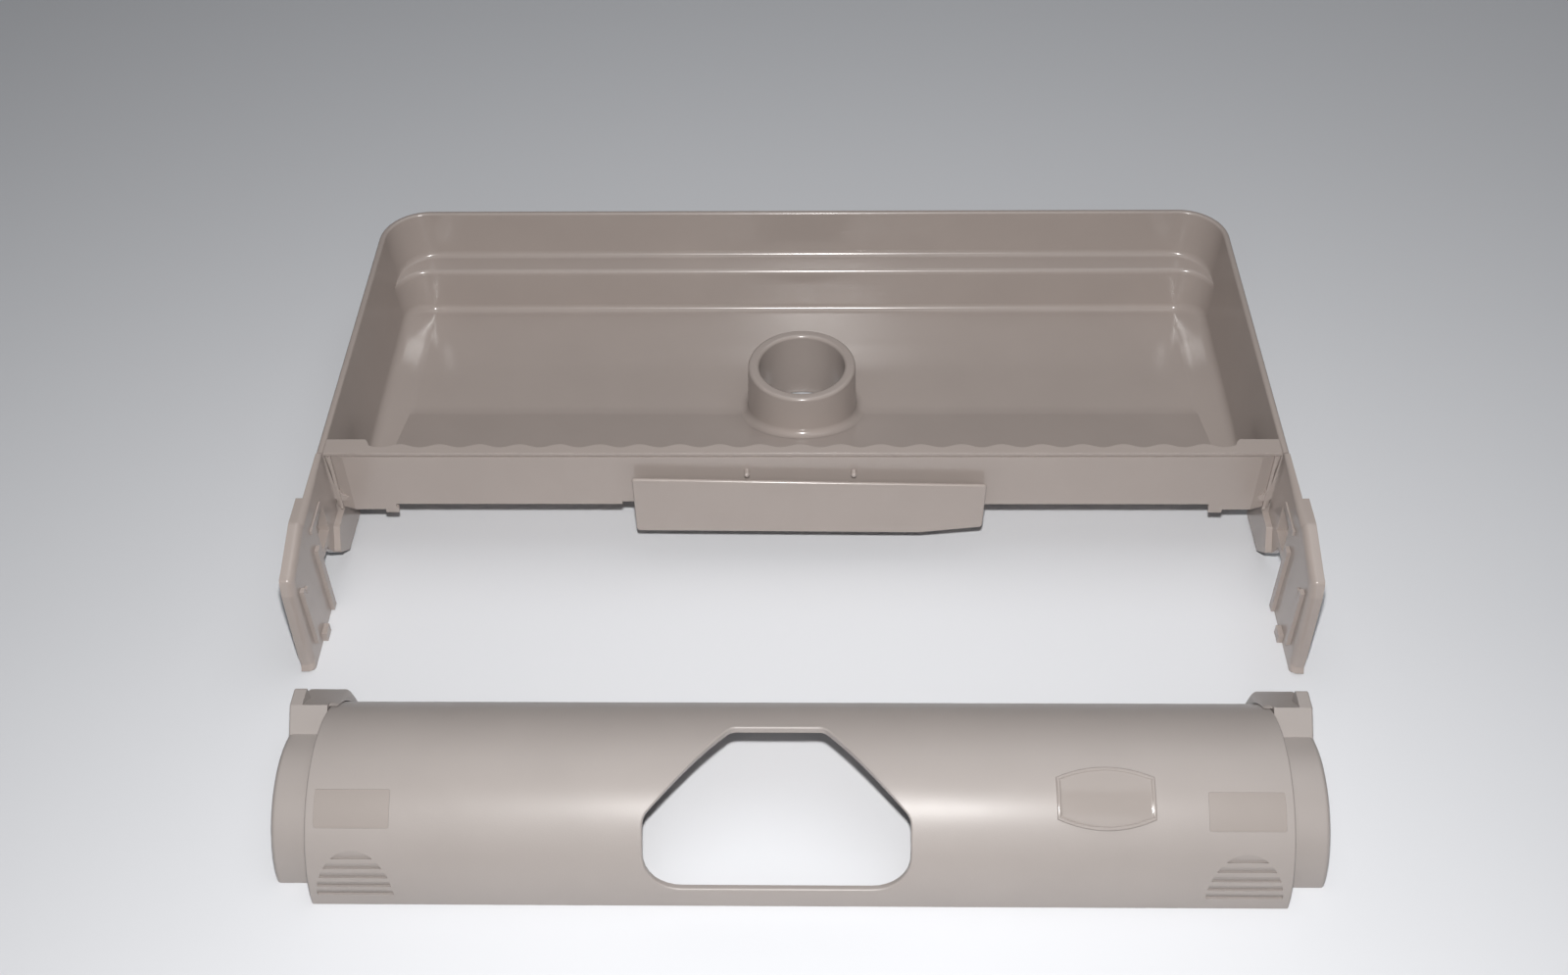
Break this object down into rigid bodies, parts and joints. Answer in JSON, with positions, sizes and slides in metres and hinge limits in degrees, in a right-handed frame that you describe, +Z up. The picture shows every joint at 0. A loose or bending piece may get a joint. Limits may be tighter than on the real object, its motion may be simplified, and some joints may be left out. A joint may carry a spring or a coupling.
{
  "type": "carpet sweeper head",
  "caption": "Carpet sweeper head laid out for cleaning: a shallow dirt tray with hose spigot, side arms and front flap, and the half-round windowed brush cover that fits between the arms.",
  "frame": {"origin": "on the table, under the middle of the laid-out pair: the centre of the base of its box", "axes": "+X along the head, to the right; +Y from the cover to the tray; +Z up"},
  "size_m": [0.381, 0.3256, 0.0533],
  "materials": {
    "tray": "moulded, glossy, grey-brown",
    "cover": "moulded, satin, grey-brown",
    "label": "smooth blank plate",
    "badge": "polished blank plate"
  },
  "bodies": {
    "tray": {"tray_pan": "tray", "front_rim_strip": "tray", "inlet_spigot": "tray", "left_arm": "tray", "right_arm": "tray", "left_flap_peg": "tray", "right_flap_peg": "tray"},
    "flap": {"front_flap": "tray"},
    "cover": {"cover_shell": "cover", "left_end_cap": "cover", "right_end_cap": "cover", "left_label_plate": "label", "right_label_plate": "label", "badge_plate": "badge"}
  },
  "joints": [
    {"name": "cover_slide", "type": "slide", "parent": "tray", "child": "cover", "axis": [0, 1, 0], "range_m": [0, 0.062]},
    {"name": "flap_swing", "type": "hinge", "parent": "tray", "child": "flap", "pos_m": [0, 0.00012, 0.04188], "axis": [-0.9997, 0, 0.0232], "range_deg": [0, 50]}
  ]
}
